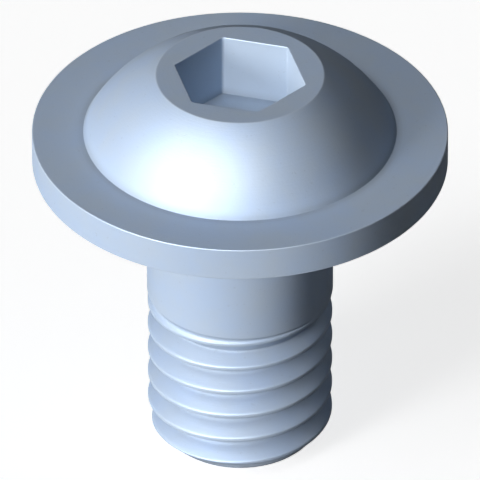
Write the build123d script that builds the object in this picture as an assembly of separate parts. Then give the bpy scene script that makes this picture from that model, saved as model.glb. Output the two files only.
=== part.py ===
from build123d import *
import math
import os

# Mushroom head screw with a collar and a hexagon socket, M8 x 14 mm. Lengths are in millimetres.
# The real screw is headed from one piece of steel wire and its thread is rolled, so the model is
# one solid: a turned head and shank, joined to a threaded rod, with the tip cut to its bevel and
# the socket sunk into the head.
# The origin is the centre of the bearing face, under the collar. +Z points out through the head,
# and the shank runs down to its tip at z = -screw_length, on which the screw stands.

# Shank
shank_diameter = 8.0         # the thread's nominal size
screw_length = 14.0          # from the bearing face to the tip
tip_bevel = 0.8              # width of the 45 degree bevel that starts the screw in its hole
neck_fillet = 0.4            # radius between the shank and the bearing face

# Thread, right-handed, with 60 degrees between its flanks
thread_length = 7.4          # from the tip up to where the groove ends
thread_pitch = 1.25
thread_allowance = 0.025     # how far the crests lie inside the nominal radius
runout_length = 1.25         # stretch at the top over which the groove gets shallower
flank_angle = 30.0           # of each flank, from a plane across the axis

# Head
collar_diameter = 17.8
collar_thickness = 1.5
rim_bevel = 0.1              # broken edges round the collar
dome_diameter = 13.4         # where the dome meets the collar
dome_curve_radius = 7.0      # of the arc from the collar up to the flat top
head_height = 4.4            # from the bearing face to the flat top
flat_diameter = 7.2          # the flat top, round the socket's mouth

# Hexagon socket
socket_width = 5.0           # across the flats
socket_depth = 2.9

# Worked out from the sizes above
shank_radius = shank_diameter / 2
collar_radius = collar_diameter / 2
dome_radius = dome_diameter / 2
flat_radius = flat_diameter / 2
tip_z = -screw_length
thread_top_z = tip_z + thread_length
flank_slope = math.tan(math.radians(flank_angle))
sharp_thread_height = thread_pitch / (2 * flank_slope)
crest_width = thread_pitch / 8
crest_radius = shank_radius - thread_allowance
root_radius = crest_radius - sharp_thread_height * 17 / 24


def headed_shank():
    """Dome, collar and plain shank, down to the cone on which the thread's groove runs out."""
    runout_z = thread_top_z - runout_length
    outline = Polyline(
        (0, head_height),
        (0, runout_z),
        (root_radius, runout_z),
        (shank_radius, thread_top_z),
        (shank_radius, 0),
        (collar_radius, 0),
        (collar_radius, collar_thickness),
        (dome_radius, collar_thickness),
    )
    outline += RadiusArc((dome_radius, collar_thickness), (flat_radius, head_height), -dome_curve_radius)
    outline += Line((flat_radius, head_height), (0, head_height))
    return revolve(Plane.XZ * make_face(outline), axis=Axis.Z)


def thread_ridge(start_z, end_z):
    """The thread's ridge between two heights, with a foot that is sunk into the core."""
    knee_radius = root_radius - 0.04 * thread_pitch
    foot_radius = root_radius - 0.2 * thread_pitch
    crest_half = crest_width / 2
    foot_half = crest_half + (crest_radius - knee_radius) * flank_slope
    section = Polygon(
        (foot_radius, start_z - foot_half),
        (knee_radius, start_z - foot_half),
        (crest_radius, start_z - crest_half),
        (crest_radius, start_z + crest_half),
        (knee_radius, start_z + foot_half),
        (foot_radius, start_z + foot_half),
        align=None,
    )
    path = Helix(thread_pitch, end_z - start_z, crest_radius, center=(0, 0, start_z))
    return sweep(Plane.XZ * section, path=path, is_frenet=True)


def threaded_rod():
    """Core and ridge. Both run on past the tip, and both end inside the plain shank."""
    ridge_bottom_z = tip_z - thread_pitch
    ridge_top_z = thread_top_z + thread_pitch / 2
    core_bottom_z = ridge_bottom_z - thread_pitch
    core = Pos(0, 0, core_bottom_z) * Cylinder(
        root_radius, -core_bottom_z, align=(Align.CENTER, Align.CENTER, Align.MIN)
    )
    return core + thread_ridge(ridge_bottom_z, ridge_top_z)


def beyond_tip():
    """What the flat end and its bevel take off the rod."""
    reach = 3 * thread_pitch
    tip_radius = shank_radius - tip_bevel
    outline = Polygon(
        (0, tip_z),
        (tip_radius, tip_z),
        (tip_radius + reach, tip_z + reach),
        (tip_radius + reach, tip_z - reach),
        (0, tip_z - reach),
        align=None,
    )
    return revolve(Plane.XZ * outline, axis=Axis.Z)


def drive_socket():
    """The hexagon that the key fills, with two corners on the X axis."""
    mouth = Plane.XY.offset(head_height) * RegularPolygon(socket_width / 2, 6, major_radius=False)
    return extrude(mouth, -socket_depth)


def ring_edges(solid, radius):
    """The circular edges of this radius, anywhere along the screw's axis."""
    return solid.edges().filter_by(GeomType.CIRCLE).filter_by(lambda edge: abs(edge.radius - radius) < 0.001)


def build_screw():
    """The whole screw as one solid."""
    screw = headed_shank()
    screw = chamfer(ring_edges(screw, collar_radius), rim_bevel)
    screw = fillet(ring_edges(screw, shank_radius).sort_by(Axis.Z)[-1], neck_fillet)
    screw += threaded_rod()
    screw -= beyond_tip()
    screw -= drive_socket()
    return screw


os.makedirs("parts", exist_ok=True)
export_step(build_screw(), "parts/mushroom_head_screw.step")
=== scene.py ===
# %% [markdown]
# # A mushroom head screw
#
# The screw is an M8 x 14 mm machine screw: a low dome on a wide collar, a hexagon socket for a 5 mm
# key, and a short shank whose lower half is threaded. It stands upright on its tip.
# The picture it is matched to looks down on it at 35 degrees, in parallel projection, against white.
#
# The construction is loaded first. Lengths are in metres, unless a name says otherwise, and every
# place is in that same frame: the origin is the middle of the bearing face under the collar, and +Z
# points out through the head.

# %% Load the frame
import math

import bpy
import numpy as np
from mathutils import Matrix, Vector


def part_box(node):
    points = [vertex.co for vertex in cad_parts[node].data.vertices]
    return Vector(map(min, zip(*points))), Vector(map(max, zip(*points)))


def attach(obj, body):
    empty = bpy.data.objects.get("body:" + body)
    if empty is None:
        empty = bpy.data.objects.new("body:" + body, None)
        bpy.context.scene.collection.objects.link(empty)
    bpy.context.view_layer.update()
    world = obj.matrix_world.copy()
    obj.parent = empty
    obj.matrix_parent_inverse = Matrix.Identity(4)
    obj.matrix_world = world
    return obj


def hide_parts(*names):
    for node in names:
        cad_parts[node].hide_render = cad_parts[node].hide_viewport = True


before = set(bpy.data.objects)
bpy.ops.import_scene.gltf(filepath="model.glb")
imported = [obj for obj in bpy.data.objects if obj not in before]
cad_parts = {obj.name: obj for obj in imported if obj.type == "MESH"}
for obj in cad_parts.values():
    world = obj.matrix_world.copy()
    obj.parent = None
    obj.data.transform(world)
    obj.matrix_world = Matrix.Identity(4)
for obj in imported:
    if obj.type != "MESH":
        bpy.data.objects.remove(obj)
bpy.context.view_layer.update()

mm = 0.001
node_name = "mushroom_head_screw"
lowest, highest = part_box(node_name)

# %% [markdown]
# ## Sizes from the construction
#
# The collar's width, the head's height and the tip's height are read from the loaded node, so that
# the new surface can't drift away from it. The other sizes are those of an M8 screw of this type, and
# each has its name where it is first needed.

# %% Sizes from the frame
collar_radius = highest.x
head_z = highest.z
tip_z = lowest.z
print("the screw is", round(2 * collar_radius / mm, 2), "mm wide and",
      round((head_z - tip_z) / mm, 2), "mm high")

# %% [markdown]
# ## Columns round the axis
#
# The whole screw is one skin, laid out on a grid: columns run round the axis and rows run along the
# outline, from the middle of the socket's floor, up the socket's wall, over the head and down the
# shank to the middle of the tip. A lathe surface with a hexagon cut into it by a Boolean would be
# quicker to make, but it leaves long thin faces round the socket, which shade badly.
#
# The socket's six corners need columns close together, and the round parts don't mind: the columns
# crowd towards the corners by a sine, the same way in each of the six walls.

# %% Columns
columns_per_wall = 44
crowding = 0.75


def column_angles():
    """Angles round the axis. Along each wall, share - crowding * sin(2 pi share) / (2 pi), times 60
    degrees."""
    share = np.arange(columns_per_wall) / columns_per_wall
    share = share - crowding * np.sin(2 * np.pi * share) / (2 * np.pi)
    return ((np.arange(6)[:, None] + share) * np.pi / 3).ravel()


theta = column_angles()
columns = len(theta)
print(columns, "columns, from", round(math.degrees(np.diff(theta).min()), 2), "to",
      round(math.degrees(np.diff(theta).max()), 2), "degrees apart")

# %% [markdown]
# ## A hexagon with soft corners
#
# A punch forms the socket while the steel is cold, and a punch has slightly rounded corners. A
# hexagon could be six points and a Bevel modifier. Here it is a distance from the axis for every
# angle: that of the nearer of two walls, and a little less where the two are nearly equal. The same
# soft choice between two surfaces shapes the thread further down.

# %% Hexagon
socket_apothem = 2.5 * mm     # half of 5 mm across the flats
socket_corner = 0.10 * mm     # rounding between two walls


def softly_least(a, b, width):
    """The smaller of a and b, rounded where they differ by less than width:
    min(a, b) - (width - |a - b|)^2 / (4 width) there, and plain min(a, b) elsewhere."""
    overlap = np.maximum(width - np.abs(a - b), 0)
    return np.minimum(a, b) - overlap**2 / (4 * width)


def softly_most(a, b, width):
    """The larger of a and b, rounded the same way."""
    return -softly_least(-a, -b, width)


def hexagon(angle):
    """Distance from the axis to a hexagon whose flats are at distance 1 and whose corners are at 0, 60
    and so on degrees: 1 / cos of the angle from the middle of the wall, with the corners rounded."""
    from_middle = np.abs(np.mod(angle, np.pi / 3) - np.pi / 6)
    this_wall = 1 / np.cos(from_middle)
    next_wall = 1 / np.cos(np.pi / 3 - from_middle)
    return softly_least(this_wall, next_wall, socket_corner / socket_apothem)


print("the socket is", round(2 * socket_apothem * hexagon(theta).min() / mm, 2), "mm across flats and",
      round(2 * socket_apothem * hexagon(theta).max() / mm, 2), "mm over its rounded corners")

# %% [markdown]
# ## The head's outline
#
# The outline is drawn as a turner would read it: straight runs, one arc for the dome, and a small
# rounding wherever two of them meet. A real edge is never perfectly sharp, and the rounding is what
# catches the light. A Bevel modifier could do it, with a weight painted on each edge, but here each
# corner of the outline simply gets its size in a list.
#
# Each run has its points closer together near its ends. Smooth shading averages the faces that meet
# in a vertex, so without them a flat face would look dished.

# %% Pieces of an outline
def run(start, end, count):
    """Points on a straight line, at (1 - cos(pi t)) / 2 of its length, so closer together at both
    ends."""
    share = (1 - np.cos(np.pi * np.linspace(0, 1, count))) / 2
    return start + share[:, None] * (end - start)


def rounding(before, corner, after, count=6):
    """A corner turned as a quadratic curve: before (1-t)^2 + corner 2t(1-t) + after t^2."""
    t = np.linspace(0, 1, count)[:, None]
    return before * (1 - t) ** 2 + corner * 2 * t * (1 - t) + after * t**2


def rounded_outline(corners, sizes, counts):
    """Points along a broken line: each leg is a run, and each corner of some size a rounding."""
    corners, sizes = np.array(corners), np.array(sizes)[:, None]
    legs = np.diff(corners, axis=0)
    ways = legs / np.linalg.norm(legs, axis=1)[:, None]
    starts = corners[:-1] + ways * sizes[:-1]
    ends = corners[1:] - ways * sizes[1:]
    pieces = []
    for place, count in enumerate(counts):
        leg = run(starts[place], ends[place], count)
        pieces.append(leg if sizes[place] else leg[1:])
        if sizes[place + 1]:
            pieces.append(rounding(ends[place], corners[place + 1], starts[place + 1])[1:-1])
    return np.concatenate(pieces)


print("a run of 5 points:", run(np.zeros(1), np.ones(1), 5).ravel().round(2))

# %% Sizes of the head
socket_floor_z = head_z - 2.9 * mm
flat_radius = 3.6 * mm        # the flat top, round the socket's mouth
dome_radius = 6.7 * mm        # where the dome meets the collar
dome_curve = 7.0 * mm         # radius of the arc from there up to the flat top
collar_z = 1.5 * mm           # the collar's upper face
neck_fillet = 0.4 * mm        # between the shank and the collar
shank_radius = 4.0 * mm
thread_top_z = tip_z + 7.4 * mm
rim_round = 0.045 * mm
edge_round = 0.04 * mm
inner_round = 0.015 * mm      # in the corners of the socket's floor and at the dome's foot

mouth = (socket_apothem, head_z)
flat_edge = (flat_radius, head_z)
dome_foot = (dome_radius, collar_z)
rim_top = (collar_radius, collar_z)
rim_bottom = (collar_radius, 0)
neck = (shank_radius, 0)
print("the dome is", round((head_z - collar_z) / mm, 2), "mm high, and the plain shank",
      round(-thread_top_z / mm, 2), "mm long")

# %% The outline from the socket's floor to the thread
dome_legs = 34


def dome_points():
    """Points (radius, z) on the arc from the flat's edge down to the dome's foot. The arc's centre lies
    inwards from the middle of the chord, at sqrt(dome_curve^2 - (chord / 2)^2). Steepness is 0 where
    the arc is level."""
    top, foot = np.array(flat_edge), np.array(dome_foot)
    chord = foot - top
    length = np.linalg.norm(chord)
    inwards = np.array((chord[1], -chord[0])) / length
    centre = (top + foot) / 2 + inwards * math.sqrt(dome_curve**2 - (length / 2) ** 2)
    at_top, at_foot = math.atan2(*(top - centre)), math.atan2(*(foot - centre))
    steepness = np.linspace(at_top, at_foot, dome_legs + 1)[:, None]
    return centre + dome_curve * np.concatenate([np.sin(steepness), np.cos(steepness)], 1)


def head_outline():
    """Rows (radius, z) from beside the middle of the socket's floor to the top of the thread. Sizes are
    the roundings of the corners, and counts the points on each leg between them."""
    corners = [(0, socket_floor_z), (socket_apothem, socket_floor_z), mouth, *dome_points(),
               rim_top, rim_bottom, neck, (shank_radius, thread_top_z)]
    sizes = [0, inner_round, edge_round, edge_round, *[0] * (dome_legs - 1), inner_round,
             rim_round, rim_round, neck_fillet, 0]
    counts = [8, 14, 12, *[2] * dome_legs, 14, 10, 12, 24]
    return rounded_outline(corners, sizes, counts)


head_rows = head_outline()
print(len(head_rows), "rows from the socket's floor to the thread")

# %% [markdown]
# ## Hexagon into circle
#
# Each row has a share of hexagon: 1 in the socket, 0 from the flat's outer edge on. In between, on
# the flat top itself, the share falls with the radius, so the rings change from hexagons to circles
# where nobody can see it. It could be a hexagonal hole joined to a round edge by Bridge Edge Loops,
# but one formula for all rings keeps the columns in line from the socket's floor to the tip.

# %% Head as a grid
def head_grid():
    """Radius and z of every row and column: radius * (1 + share * (hexagon - 1))."""
    radius, z = head_rows.T
    share = np.interp(radius, [socket_apothem + edge_round, flat_radius - edge_round], [1, 0])
    ring = radius[:, None] * (1 + share[:, None] * (hexagon(theta) - 1))
    return ring, np.broadcast_to(z[:, None], ring.shape)


head_ring, head_height = head_grid()
print("the head is a grid of", len(head_ring), "rows and", columns, "columns")

# %% [markdown]
# ## The thread
#
# A rolled thread is one ridge that climbs 1.25 mm each time round. It could be a Screw modifier on a
# little triangle, but that makes a loose ribbon that has to be joined to the shank. Here the thread
# is the shank's own skin: at every angle and height the radius is worked out from how far the place
# is from the nearest ridge. The rows of the grid climb with the thread, so its crests stay crisp.
# At the top and the bottom the rows are held at one height, and points that fall together become one.

# %% Sizes of the thread
pitch = 1.25 * mm
flank_slope = math.tan(math.radians(30))
sharp_height = pitch / (2 * flank_slope)             # of the ridge, if it ran to an edge
crest_half = pitch / 16                              # the crest's flat is pitch / 8 wide
crest_radius = shank_radius - 0.025 * mm
root_radius = crest_radius - sharp_height * 17 / 24  # 17/24 is the standard depth
runout_length = 1.25 * mm                            # stretch over which the groove gets shallower
tip_radius = shank_radius - 0.8 * mm
crest_round = 0.06 * mm
root_round = 0.16 * mm
runout_round = 0.04 * mm
bevel_round = 0.05 * mm
print("the thread is", round(2 * crest_radius / mm, 2), "mm across its crests and",
      round(2 * root_radius / mm, 2), "mm across its roots")

# %% Radius of the threaded shank
def shank_surface(angle, z):
    """Radius of the shank. The ridge's flanks fall by their distance from the crest's edge / tan 30,
    between crest and root. The run-out's cone lies over that, and the tip's bevel cuts both."""
    turns = (z - tip_z) / pitch - angle / (2 * np.pi)
    from_ridge = np.abs(turns - np.round(turns)) * pitch
    flank = crest_radius - (from_ridge - crest_half) / flank_slope
    thread = softly_most(softly_least(flank, crest_radius, crest_round), root_radius, root_round)
    up_runout = (z - (thread_top_z - runout_length)) / runout_length
    runout = root_radius + (shank_radius - root_radius) * np.minimum(up_runout, 1)
    bevel = tip_radius + (z - tip_z)
    rod = np.minimum(softly_most(thread, runout, runout_round), shank_radius)
    return softly_least(rod, bevel, bevel_round)


on_crest = shank_surface(0, tip_z + pitch)
in_groove = shank_surface(0, tip_z + 1.5 * pitch)
print("the radius is", round(on_crest / mm, 3), "mm on the crest, one turn over the tip, and",
      round(in_groove / mm, 3), "mm in the groove, half a turn on")

# %% The thread as a grid
# heights over the middle of the crest, close together round its edge and in the groove
half_turn_rows = np.array([0, 0.035, 0.062, 0.09, 0.13, 0.22, 0.32, 0.41, 0.47, 0.52, 0.57, 0.625]) * mm


def thread_grid():
    """Radius and z of every row and column, and the number of rows to a turn. Each row climbs by
    pitch * angle / (2 pi), and is held between the tip and the thread's top."""
    one_turn = np.concatenate([half_turn_rows, pitch - half_turn_rows[-2:0:-1]])
    turns = math.ceil((thread_top_z - tip_z) / pitch) + 1
    heights = tip_z + (np.arange(-1, turns)[:, None] * pitch + one_turn).ravel()[::-1]
    climbing = heights[:, None] + pitch * theta / (2 * np.pi)
    z = np.clip(climbing, tip_z, thread_top_z)
    return shank_surface(theta, z), z, len(one_turn)


thread_ring, thread_height, rows_per_turn = thread_grid()
print(len(thread_ring), "rows on the thread,", rows_per_turn, "to a turn")

# %% [markdown]
# ## One closed skin
#
# The head's last row and the thread's top share one ring of points, and so do the thread's bottom
# and the tip. The socket's floor and the tip are closed by a point on the axis. A face is a square
# of four neighbours in the grid. Where the thread's rows run out, two of its corners are the same
# point, and the square becomes a triangle or nothing. It could be three pieces, merged by distance,
# but shared numbers leave no seam to merge.

# %% Points of the skin
tip_shares = np.array([1, 0.985, 0.9, 0.7, 0.4])[:, None]
tip_ring = tip_shares * shank_surface(theta, np.full(columns, tip_z))
tip_height = np.full(tip_ring.shape, tip_z)
axis_points = np.array([(0, 0, socket_floor_z), (0, 0, tip_z)])


def grid_points(ring, height):
    """Points (radius cos angle, radius sin angle, z), row after row."""
    return np.stack([ring * np.cos(theta), ring * np.sin(theta), height], 2).reshape(-1, 3)


points = np.concatenate([
    grid_points(head_ring, head_height), grid_points(thread_ring, thread_height),
    grid_points(tip_ring, tip_height), axis_points,
])
print(len(points), "points before the unused ones go")

# %% Numbers of the points
def numbers(grid, first):
    """The number of each point of a grid whose points start at first."""
    return first + np.arange(grid.size).reshape(grid.shape)


head_numbers = numbers(head_ring, 0)
thread_numbers = numbers(thread_ring, head_ring.size)
tip_numbers = numbers(tip_ring, head_ring.size + thread_ring.size)
thread_numbers = np.where(thread_height >= thread_top_z, head_numbers[-1], thread_numbers)
thread_numbers = np.where(thread_height <= tip_z, tip_numbers[0], thread_numbers)
socket_middle = np.full((1, columns), len(points) - 2)
tip_middle = np.full((1, columns), len(points) - 1)
print(len(np.unique(thread_numbers)), "points on the thread and its two ends")

# %% Faces of the skin
def squares(grid, after_last):
    """Four corners of each face, counted so that they face outwards. The last column meets
    after_last."""
    following = np.concatenate([grid[:, 1:], after_last[:, None]], 1)
    return np.stack([grid[:-1], grid[1:], following[1:], following[:-1]], 2).reshape(-1, 4)


def without_doubles(four):
    """Squares as they are, and triangles where two neighbouring corners are one point."""
    differs = four != np.roll(four, -1, axis=1)
    corners = differs.sum(1)
    three = four[differs & (corners == 3)[:, None]].reshape(-1, 3)
    return four[corners == 4], three


head_rings = np.concatenate([socket_middle, head_numbers])
tip_rings = np.concatenate([tip_numbers, tip_middle])
one_turn_up = np.concatenate([
    np.full(rows_per_turn, head_numbers[-1, 0]), thread_numbers[:-rows_per_turn, 0],
])
four_corners, three_corners = without_doubles(np.concatenate([
    squares(head_rings, head_rings[:, 0]),
    squares(thread_numbers, one_turn_up),
    squares(tip_rings, tip_rings[:, 0]),
]))
print(len(four_corners), "squares and", len(three_corners), "triangles")

# %% [markdown]
# ## Where the plating wears, where shade is painted, and where it is thin
#
# Handling burnishes a plated screw first where it is proud: round the socket's mouth, on the edge of
# the flat, on both edges of the rim and, less, on the crests of the thread. In the nooks, at the foot
# of the dome, round the socket's floor, under the collar and in the thread's root, shade is painted
# into the plating: it is darker there, and rougher. The shank's end gets more of that painted shade.
# In the socket the zinc is thin and matt, because electroplating puts less metal into a recess.
#
# A painter would brush in all three. Here they are attributes of the mesh, worked out from the same
# outline, and the material reads them.

# %% Values for every point
def near(corners, reach):
    """exp(-(distance to the nearest of these corners of the outline / reach)^2), for each of the head's
    rows."""
    distance = np.linalg.norm(head_rows[:, None] - np.array(corners), axis=2).min(1)
    return np.exp(-((distance / reach) ** 2))


def over_all_points(head_values, thread_values):
    """One value for each point of the skin: the head's rows, the thread's grid, and none on the tip."""
    return np.concatenate([np.repeat(head_values, columns), thread_values.ravel(),
                           np.zeros(tip_ring.size + len(axis_points))])


attributes = {}
print("each attribute gets", len(over_all_points(head_rows[:, 0], thread_ring)), "values")

# %% Wear
wear_reach = 0.07 * mm
crest_wear = 0.6
crest_depth = 0.10 * mm


def wear_of_points():
    """Near 1 on the head's proud edges. On the thread, crest_wear times how near the radius is to the
    crest's, less and less up the run-out."""
    thread_wear = crest_wear * np.clip((thread_ring - crest_radius + crest_depth) / crest_depth, 0, 1)
    thread_wear = thread_wear * np.clip((thread_top_z - thread_height) / runout_length, 0, 1)
    return over_all_points(near([mouth, flat_edge, rim_top, rim_bottom], wear_reach), thread_wear)


attributes["wear"] = wear_of_points()
print("worn points:", int((attributes["wear"] > 0.5).sum()))

# %% Nooks, where shade is painted
nook_reach = 0.22 * mm
# the shank's end is painted darker still, as painted shade, up to end_height over the tip
end_shading = 2.2
end_height = 0.5 * mm


def nook_of_points():
    """How much shade is painted at each point: near 1 in the head's inner corners. On the thread, the
    square of the groove's depth over its full depth. Below end_height, end_shading * sqrt(1 - height
    over the tip / end_height), where that is more."""
    depth = np.clip((crest_radius - thread_ring) / (crest_radius - root_radius), 0, 1)
    thread_end = end_shading * np.sqrt(np.clip(1 - (thread_height - tip_z) / end_height, 0, 1))
    inner = [(socket_apothem, socket_floor_z), dome_foot, neck]
    return over_all_points(near(inner, nook_reach), np.maximum(depth**2, thread_end))


attributes["nook"] = nook_of_points()
print("points in a nook:", int((attributes["nook"] > 0.5).sum()))

# %% Recess
def recess_of_points():
    """1 on the socket's walls and floor, and 0 from its mouth on."""
    radius, z = head_rows.T
    inside = (radius <= socket_apothem) & (z < head_z - edge_round / 2)
    return over_all_points(inside.astype(float), np.zeros_like(thread_ring))


attributes["recess"] = recess_of_points()
print("points in the socket:", int(attributes["recess"].sum()))

# %% [markdown]
# ## The mesh
#
# The grid holds points that no face uses, where the thread's rows are held at its top and bottom, and
# they are left out. Every face is shaded smooth, because each edge has a rounding of real faces that
# keeps the flats beside it flat. The screw's origin stays at the frame's: its place is in its points.
# It replaces the node of the construction and rides on the one body.

# %% The screw as a mesh
def make_skin():
    """The mesh with its unused points left out."""
    all_corners = np.concatenate([four_corners.ravel(), three_corners.ravel()])
    used, place = np.unique(all_corners, return_inverse=True)
    four = place[: four_corners.size].reshape(-1, 4)
    three = place[four_corners.size :].reshape(-1, 3)
    mesh = bpy.data.meshes.new("screw_skin")
    mesh.from_pydata(points[used].tolist(), [], four.tolist() + three.tolist())
    for name, values in attributes.items():
        mesh.attributes.new(name, "FLOAT", "POINT").data.foreach_set("value", values[used])
    mesh.polygons.foreach_set("use_smooth", np.ones(len(mesh.polygons), bool))
    mesh.validate(verbose=True)
    return mesh


screw = bpy.data.objects.new("screw_skin", make_skin())
bpy.context.scene.collection.objects.link(screw)
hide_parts(node_name)
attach(screw, "root")
print(len(screw.data.vertices), "points and", len(screw.data.polygons), "faces,",
      sum(len(face.vertices) - 2 for face in screw.data.polygons), "triangles")

# %% [markdown]
# ## Shader maths as formulas
#
# A material is a tree of nodes. It could be drawn in the Shader Editor or written node by node, but
# then its formulas are hard to read. Two small helpers let a formula look like one: a `Wire` is an
# output of a node, and a sign between wires adds a Math node. A `Recipe` makes the nodes.

# %% Wire
class Wire:
    """One output of a shader node. Each sign between wires or numbers adds one Math node."""

    def __init__(self, recipe, socket):
        self.recipe, self.socket = recipe, socket

    def maths(self, operation, first, second):
        """A Math node on two wires or numbers."""
        return self.recipe.node("ShaderNodeMath", {"operation": operation}, {0: first, 1: second})

    def __add__(self, other):
        return self.maths("ADD", self, other)

    def __sub__(self, other):
        return self.maths("SUBTRACT", self, other)

    def __rsub__(self, other):
        return self.maths("SUBTRACT", other, self)

    def __mul__(self, other):
        return self.maths("MULTIPLY", self, other)

    __radd__, __rmul__ = __add__, __mul__


print("a Wire can be added, subtracted and multiplied, with a Wire or a number on either side")

# %% Recipe
class Recipe:
    """The node tree of one material, or of the world."""

    def __init__(self, owner):
        owner.use_nodes = True
        self.tree = owner.node_tree
        self.tree.nodes.clear()

    def node(self, kind, settings=None, inputs=None, output=0):
        """A node of this type: first its settings, then the values or wires of its sockets."""
        made = self.tree.nodes.new(kind)
        for name, value in (settings or {}).items():
            setattr(made, name, value)
        for name, value in (inputs or {}).items():
            if isinstance(value, Wire):
                self.tree.links.new(value.socket, made.inputs[name])
            else:
                made.inputs[name].default_value = value
        return Wire(self, made.outputs[output]) if made.outputs else made

    def vector(self, operation, inputs, output=0):
        """A Vector Math node."""
        return self.node("ShaderNodeVectorMath", {"operation": operation}, inputs, output)

    def mix(self, factor, first, second):
        """A colour between first and second."""
        inputs = {0: factor, 6: first, 7: second}
        return self.node("ShaderNodeMix", {"data_type": "RGBA"}, inputs, output=2)


print("a Recipe can make:", [name for name in vars(Recipe) if not name.startswith("_")])

# %% [markdown]
# ## Patterns of the plating
#
# Up close the plating has faint clouds of a warmer grey, a fine grain, a few specks, and the light
# rings that turning and heading leave round the axis. Photographed textures would show them too, but
# they have to be wrapped round the screw and blur when the camera comes close. Noise worked out at
# each place in space needs no wrapping. Noise that is given only the distance to the axis and the
# height can't change round the axis, and so it makes the rings.

# %% Patterns
clouds_per_mm = 0.45
grains_per_mm = 9
specks_per_mm = 5
scuffs_per_mm = 2.2
rings_per_mm = 14
clouds_from, clouds_to = 0.35, 0.65
specks_from, specks_to = 0.68, 0.74


def noise(recipe, place, per_mm, detail):
    """Smooth random values between 0 and 1, with this many waves to a millimetre."""
    inputs = {"Vector": place, "Scale": per_mm, "Detail": detail, "Roughness": 0.55}
    return recipe.node("ShaderNodeTexNoise", None, inputs, "Fac")


def stretched(recipe, value, low, high):
    """(value - low) / (high - low), held between 0 and 1."""
    return recipe.node("ShaderNodeMapRange", None, {0: value, 1: low, 2: high, 3: 0.0, 4: 1.0})


def plating_patterns(recipe):
    """The patterns by name, on the screw's own coordinates in millimetres."""
    place = recipe.node("ShaderNodeTexCoord", output="Object")
    place = recipe.vector("SCALE", {0: place, "Scale": 1 / mm})
    radius = recipe.vector("LENGTH", {0: recipe.vector("MULTIPLY", {0: place, 1: (1, 1, 0)})}, "Value")
    height = recipe.node("ShaderNodeSeparateXYZ", None, {0: place}, "Z")
    round_axis = recipe.node("ShaderNodeCombineXYZ", None, {"X": radius, "Z": height})
    clouds = noise(recipe, place, clouds_per_mm, detail=4)
    specks = noise(recipe, place, specks_per_mm, detail=2)
    return {
        "clouds": stretched(recipe, clouds, clouds_from, clouds_to),
        "specks": stretched(recipe, specks, specks_from, specks_to),
        "grain": noise(recipe, place, grains_per_mm, detail=3),
        "scuffs": noise(recipe, place, scuffs_per_mm, detail=3),
        "rings": noise(recipe, round_axis, rings_per_mm, detail=2),
    }


print("one cloud is about", round(1 / clouds_per_mm, 1), "mm wide, and one grain",
      round(1 / grains_per_mm, 2), "mm")

# %% [markdown]
# ## Bright bluish zinc plating
#
# The screw is steel under a few microns of zinc with a blue passivation. It is satin rather than
# mirror bright: the plating's grain scatters most of the light, so only a small share is mirrored
# and the highlight is broad. Worn edges are brighter, smoother and more metallic, the nooks and the
# shank's end carry painted shade, darker and rougher, and the thin zinc in the socket is greyer and
# mirrors nothing.
#
# A plain metallic shader would be the first thing to try, but on white ground it shows the white of
# its surroundings and dark bands between, where the picture has soft, nearly matt shading.

# %% Where the zinc is worn or thin, and where shade is painted
least_scuffed = 0.6
wear_from, wear_to = 0.35, 0.95
# painted shade in the nooks: how much, and how much more where a cloud is
nook_shading = 0.35
nook_shading_by_clouds = 0.25
speck_dullness = 0.14


def painted(recipe, name):
    """An attribute of the mesh."""
    return recipe.node("ShaderNodeAttribute", {"attribute_name": name}, None, "Fac")


def zinc_state(recipe, pattern):
    """Worn, shaded and thin, from 0 to 1; the painted shade goes over 1 at the shank's end. Wear is
    broken up by scuffs, the painted shade in the nooks varies with a cloud, and the specks, random
    marks, are darker and rougher everywhere."""
    scuffed = painted(recipe, "wear") * (least_scuffed + pattern["scuffs"])
    # painted shade in the nooks and at the shank's end, varied by clouds, and the specks on top
    shade_and_specks = painted(recipe, "nook") * (nook_shading + pattern["clouds"] * nook_shading_by_clouds)
    shade_and_specks = shade_and_specks + pattern["specks"] * speck_dullness
    return stretched(recipe, scuffed, wear_from, wear_to), shade_and_specks, painted(recipe, "recess")


# prints the strongest painted shade in a nook and at the shank's end
print("the dullest nook is", round(nook_shading + nook_shading_by_clouds, 2), "dull, and the shank's end",
      round(end_shading * (nook_shading + nook_shading_by_clouds), 2))

# %% Zinc plating
zinc_blue = (0.490, 0.610, 0.800, 1)
zinc_grey = (0.515, 0.615, 0.755, 1)
worn_zinc = (0.680, 0.770, 0.890, 1)
# colour of the painted shade in the nooks and at the shank's end, and of the random specks
shade_and_speck_zinc = (0.300, 0.350, 0.420, 1)
thin_zinc = (0.510, 0.610, 0.740, 1)
worn_colour = 0.25
metal_share, worn_metal = 0.12, 0.03
specular_level = 0.0
roughness_level = 0.50
grain_rough, rings_rough, dull_rough, worn_smooth = 0.15, 0.12, 0.15, 0.05
bump_strength = 0.7
bump_height = 0.006 * mm
rings_bump, specks_pit = 0.8, 0.5


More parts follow.
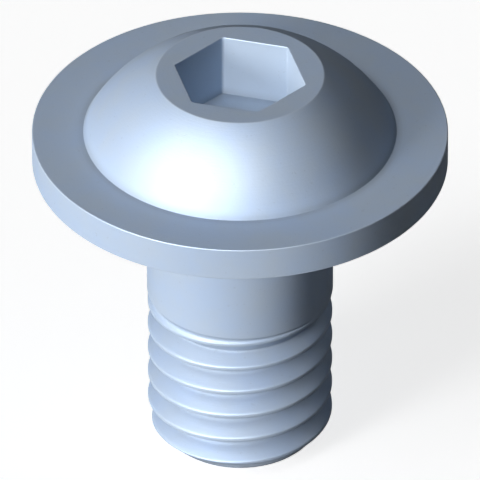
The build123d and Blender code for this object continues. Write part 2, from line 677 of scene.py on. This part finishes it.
def zinc_plating():
    """Principled shader: clouds, the zinc's state and the painted shade in the colour, metal and
    roughness, and grain, rings and specks in the bump."""
    material = bpy.data.materials.new("bluish_zinc_plating")
    recipe = Recipe(material)
    pattern = plating_patterns(recipe)
    grain, rings = pattern["grain"], pattern["rings"]
    worn, shade_and_specks, thin = zinc_state(recipe, pattern)

    colour = recipe.mix(pattern["clouds"], zinc_blue, zinc_grey)
    colour = recipe.mix(thin, colour, thin_zinc)
    # painted shade: darker in the nooks and at the shank's end, with dark specks
    colour = recipe.mix(shade_and_specks, colour, shade_and_speck_zinc)
    colour = recipe.mix(worn * worn_colour, colour, worn_zinc)
    metallic = (1 - thin) * metal_share + worn * worn_metal
    roughness = roughness_level + (grain - 0.5) * grain_rough + (rings - 0.5) * rings_rough
    roughness = roughness + shade_and_specks * dull_rough - worn * worn_smooth
    relief = grain + rings * rings_bump - pattern["specks"] * specks_pit
    bumps = recipe.node("ShaderNodeBump", None, {
        "Strength": bump_strength, "Distance": bump_height, "Height": relief,
    }, "Normal")
    surface = recipe.node("ShaderNodeBsdfPrincipled", None, {
        "Base Color": colour, "Metallic": metallic, "Specular IOR Level": specular_level,
        "Roughness": roughness, "Normal": bumps,
    })
    recipe.node("ShaderNodeOutputMaterial", None, {"Surface": surface})
    return material


plating = zinc_plating()
screw.data.materials.append(plating)
print("material", plating.name, "with", len(plating.node_tree.nodes), "nodes")

# %% [markdown]
# ## Floor and background
#
# The background is plain white, but a floor lit to white would throw too much light back at the
# screw. So the floor and the world are white only for the camera's rays, half as bright for rays off
# a shiny surface, and darker for the light that bounces about. Two thirds of the floor's white is a
# glow and one third is its own pale colour under the lamps, and the screw's shadow takes away only
# a part of that third. It could be a Shadow Catcher over a white picture, but a real floor also
# stands in the plating's reflections.

# %% Rays that see the background
white = (1, 1, 1, 1)
mirrored_share = 0.5


def seen_rays(recipe):
    """1 for a ray from the camera, mirrored_share for one off a glossy surface or through glass, and 0
    for all others."""
    def ray(kind):
        return recipe.node("ShaderNodeLightPath", None, None, kind)

    return ray("Is Camera Ray") + (ray("Is Glossy Ray") + ray("Is Transmission Ray")) * mirrored_share


print("reflections show", mirrored_share, "of the background's white")

# %% Floor
floor_glow = 0.66
floor_pale = (0.82, 0.82, 0.82, 1)
floor_bounce = (0.10, 0.10, 0.10, 1)
floor_half = 1.5


def floor_material():
    """Diffuse floor, paler and with a glow of its own for the rays that see it."""
    material = bpy.data.materials.new("floor")
    recipe = Recipe(material)
    seen = seen_rays(recipe)
    colour = recipe.mix(seen, floor_bounce, floor_pale)
    diffuse = recipe.node("ShaderNodeBsdfDiffuse", None, {"Color": colour})
    glow = recipe.node("ShaderNodeEmission", None, {"Color": white, "Strength": seen * floor_glow})
    both = recipe.node("ShaderNodeAddShader", None, {0: diffuse, 1: glow})
    recipe.node("ShaderNodeOutputMaterial", None, {"Surface": both})
    material.cycles.emission_sampling = "NONE"
    return material


def make_floor():
    """A square at the height of the tip. It casts no shadow itself, so a lamp can shine from below
    it."""
    mesh = bpy.data.meshes.new("floor")
    corners = [(-floor_half, -floor_half, tip_z), (floor_half, -floor_half, tip_z),
               (floor_half, floor_half, tip_z), (-floor_half, floor_half, tip_z)]
    mesh.from_pydata(corners, [], [(0, 1, 2, 3)])
    mesh.materials.append(floor_material())
    floor = bpy.data.objects.new("floor", mesh)
    bpy.context.scene.collection.objects.link(floor)
    floor.visible_shadow = False


make_floor()
print("floor at", round(tip_z / mm, 2), "mm,", 2 * floor_half, "m wide")

# %% World
fill_level = 0.005
fill_colour = (0.86, 0.93, 1.0, 1)


def make_world():
    """Weak, slightly blue fill light from everywhere, and white where it is seen."""
    world = bpy.data.worlds.new("studio")
    bpy.context.scene.world = world
    recipe = Recipe(world)
    seen = seen_rays(recipe)
    background = recipe.node("ShaderNodeBackground", None, {
        "Color": recipe.mix(seen, fill_colour, white), "Strength": fill_level + seen * (1 - fill_level),
    })
    recipe.node("ShaderNodeOutputWorld", None, {"Surface": background})


make_world()
print("world", bpy.context.scene.world.name, "with a fill of", fill_level)

# %% [markdown]
# ## Light
#
# The picture is lit from the left and a little from the front, quite low: the top faces are a middle
# tone, the front left of the dome is nearly white and the right side is dark. A sun lights the floor
# evenly, and its width gives the soft edge of a studio lamp.
#
# Five suns share the work. The key comes in low and gives the sides their tones, and a weak light
# from higher up lifts the top faces. Three fifths of the key cast no shadow, because the picture has
# none: the dome's shadow on the collar and the dark inside the socket are then less than half as deep.
# The soft box is seen only in reflections. It is large, so the satin plating shows it as one broad
# highlight low on the dome's left. It could be a plane that glows, but a sun is the same from any
# distance, so the highlight stays as it is for a screw of any size.
#
# The fifth sun is weak and comes from behind and below, in place of the light that a pale floor would
# throw back up. The picture's camera hardly sees what it lights. It is there for whoever walks round
# to the other side, which would otherwise be nearly black.

# %% Aiming
def direction(azimuth, elevation):
    """Unit vector towards a place round the screw: azimuth 0 is at -Y and 90 at +X, elevation is above
    the horizon, in degrees."""
    a, e = math.radians(azimuth), math.radians(elevation)
    return np.array([math.sin(a) * math.cos(e), -math.cos(a) * math.cos(e), math.sin(e)])


def aim(thing, back):
    """Turns a lamp or a camera so that its back points this way and its top upwards. Its right is the
    world's up x back, and its own up is back x right."""
    right = np.cross((0, 0, 1), back)
    right /= np.linalg.norm(right)
    up = np.cross(back, right)
    turned = np.eye(4)
    turned[:3, 0], turned[:3, 1], turned[:3, 2] = right, up, back
    turned[:3, 3] = thing.location
    thing.matrix_world = turned.T.tolist()


print("45 degrees up at the front is", direction(0, 45).round(2))

# %% Suns
camera_azimuth = -45
camera_elevation = math.degrees(math.asin(1 / math.sqrt(3)))
key_azimuth = camera_azimuth - 48
key_elevation = 15
key_strength = 1.08
open_share = 0.6
key_width = 20


def make_sun(name, azimuth, elevation, strength, width, matt=True, shiny=True, shadow=True):
    """A sun from that side. A white surface that faces it renders as its strength. It can light only
    what a surface scatters, or only what it mirrors, and it can be one that casts no shadow."""
    lamp = bpy.data.lights.new(name, "SUN")
    lamp.energy, lamp.angle, lamp.use_shadow = strength * math.pi, math.radians(width), shadow
    thing = bpy.data.objects.new(name, lamp)
    thing.visible_diffuse, thing.visible_glossy = matt, shiny
    bpy.context.scene.collection.objects.link(thing)
    aim(thing, direction(azimuth, elevation))


make_sun("key", key_azimuth, key_elevation, key_strength * (1 - open_share), key_width, shiny=False)
make_sun("open_key", key_azimuth, key_elevation, key_strength * open_share, key_width, shiny=False,
         shadow=False)
make_sun("top_light", key_azimuth, elevation=50, strength=0.11, width=25, shiny=False)
make_sun("soft_box", camera_azimuth - 43, elevation=44, strength=4.15, width=64, matt=False)
make_sun("floor_light", camera_azimuth + 180, elevation=-25, strength=0.17, width=24, shiny=False)
print("lamps:", sorted(lamp.name for lamp in bpy.data.lights))

# %% [markdown]
# ## Camera
#
# The picture is an isometric view: from one corner of a cube, in parallel projection. A very long
# lens comes close to that, and unlike a parallel camera it can be moved back to take in other views.
# The frame's middle lies on the axis, and its width is known from the picture's scale.

# %% Camera
frame_pixels = 480
pixels_per_mm = 23.3
frame_width = frame_pixels / pixels_per_mm * mm
frame_middle_z = -4.24 * mm
lens_mm = 1500
sensor_mm = 36


def make_camera():
    """A long lens, as far away as makes the frame that wide at the axis: width * lens / sensor."""
    data = bpy.data.cameras.new("camera")
    data.lens, data.sensor_width = lens_mm, sensor_mm
    distance = frame_width * lens_mm / sensor_mm
    data.clip_start, data.clip_end = distance / 10, distance * 10
    camera = bpy.data.objects.new("camera", data)
    bpy.context.scene.collection.objects.link(camera)
    back = direction(camera_azimuth, camera_elevation)
    camera.location = np.array([0, 0, frame_middle_z]) + back * distance
    aim(camera, back)
    bpy.context.scene.camera = camera
    return distance


print("the camera stands", round(make_camera(), 3), "m away")
bpy.context.scene.view_settings.view_transform = "Standard"

# %% [markdown]
# ## The construction's box
#
# The skin has to stay inside the construction.
